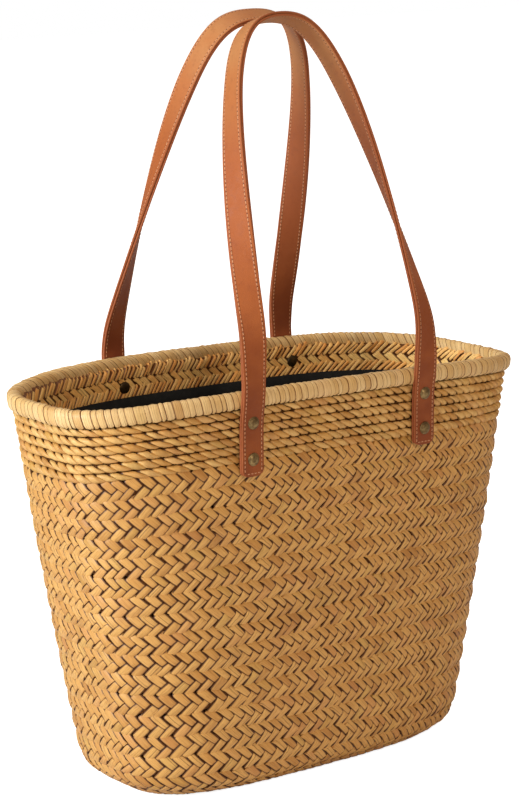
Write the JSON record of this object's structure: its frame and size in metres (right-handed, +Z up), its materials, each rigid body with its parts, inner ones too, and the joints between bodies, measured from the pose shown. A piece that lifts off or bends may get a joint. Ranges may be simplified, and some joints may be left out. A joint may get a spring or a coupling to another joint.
{
  "type": "straw tote bag",
  "caption": "Upright oval tote bag of plaited straw with a wound rim, fabric lining and two riveted leather handles that fold outwards.",
  "frame": {"origin": "middle of the flat base, on the ground", "axes": "+X along the bag's width, +Y from its front to its back, +Z up"},
  "size_m": [0.432, 0.1874, 0.5843],
  "materials": {
    "straw": "matt natural straw plait",
    "straw_rope": "matt twisted straw rope",
    "straw_facing": "matt straw plait, inner side and base",
    "straw_rim": "pale flat straw, tightly wound",
    "lining_fabric": "plain black woven lining",
    "leather": "smooth tan leather, satin, cream stitching",
    "leather_backing": "smooth darker tan leather, satin",
    "antique_brass": "aged, brushed"
  },
  "bodies": {
    "root": {"base_panel": "straw_facing", "plait_row_01": "straw", "plait_row_02": "straw", "plait_row_03": "straw", "plait_row_04": "straw", "plait_row_05": "straw", "plait_row_06": "straw", "plait_row_07": "straw", "plait_row_08": "straw", "plait_row_09": "straw", "plait_row_10": "straw", "plait_row_11": "straw", "plait_row_12": "straw", "plait_row_13": "straw", "plait_row_14": "straw", "plait_row_15": "straw", "plait_row_16": "straw", "rope_row_1": "straw_rope", "rope_row_2": "straw_rope", "rope_row_3": "straw_rope", "rope_row_4": "straw_rope", "rope_row_5": "straw_rope", "rope_row_6": "straw_rope", "facing_row_1": "straw_facing", "facing_row_2": "straw_facing", "facing_row_3": "straw_facing", "rim_wrap": "straw_rim", "rim_core": "straw_facing", "lining": "lining_fabric", "front_left_tab_face": "leather", "front_left_tab_backing": "leather_backing", "front_right_tab_face": "leather", "front_right_tab_backing": "leather_backing", "back_left_tab_face": "leather", "back_left_tab_backing": "leather_backing", "back_right_tab_face": "leather", "back_right_tab_backing": "leather_backing", "rivet_front_left_upper": "antique_brass", "rivet_front_left_lower": "antique_brass", "rivet_front_right_upper": "antique_brass", "rivet_front_right_lower": "antique_brass", "rivet_back_left_upper": "antique_brass", "rivet_back_left_lower": "antique_brass", "rivet_back_right_upper": "antique_brass", "rivet_back_right_lower": "antique_brass", "back_cap_front_left_upper": "antique_brass", "back_cap_front_left_lower": "antique_brass", "back_cap_front_right_upper": "antique_brass", "back_cap_front_right_lower": "antique_brass", "back_cap_back_left_upper": "antique_brass", "back_cap_back_left_lower": "antique_brass", "back_cap_back_right_upper": "antique_brass", "back_cap_back_right_lower": "antique_brass"},
    "front_handle": {"front_handle_face": "leather", "front_handle_backing": "leather_backing"},
    "back_handle": {"back_handle_face": "leather", "back_handle_backing": "leather_backing"}
  },
  "joints": [
    {"name": "front_handle_fold", "type": "hinge", "parent": "root", "child": "front_handle", "pos_m": [0, -0.0925, 0.316], "axis": [1, 0, 0], "range_deg": [0, 165]},
    {"name": "back_handle_fold", "type": "hinge", "parent": "root", "child": "back_handle", "pos_m": [0, 0.0925, 0.316], "axis": [-1, 0, 0], "range_deg": [0, 165]}
  ]
}
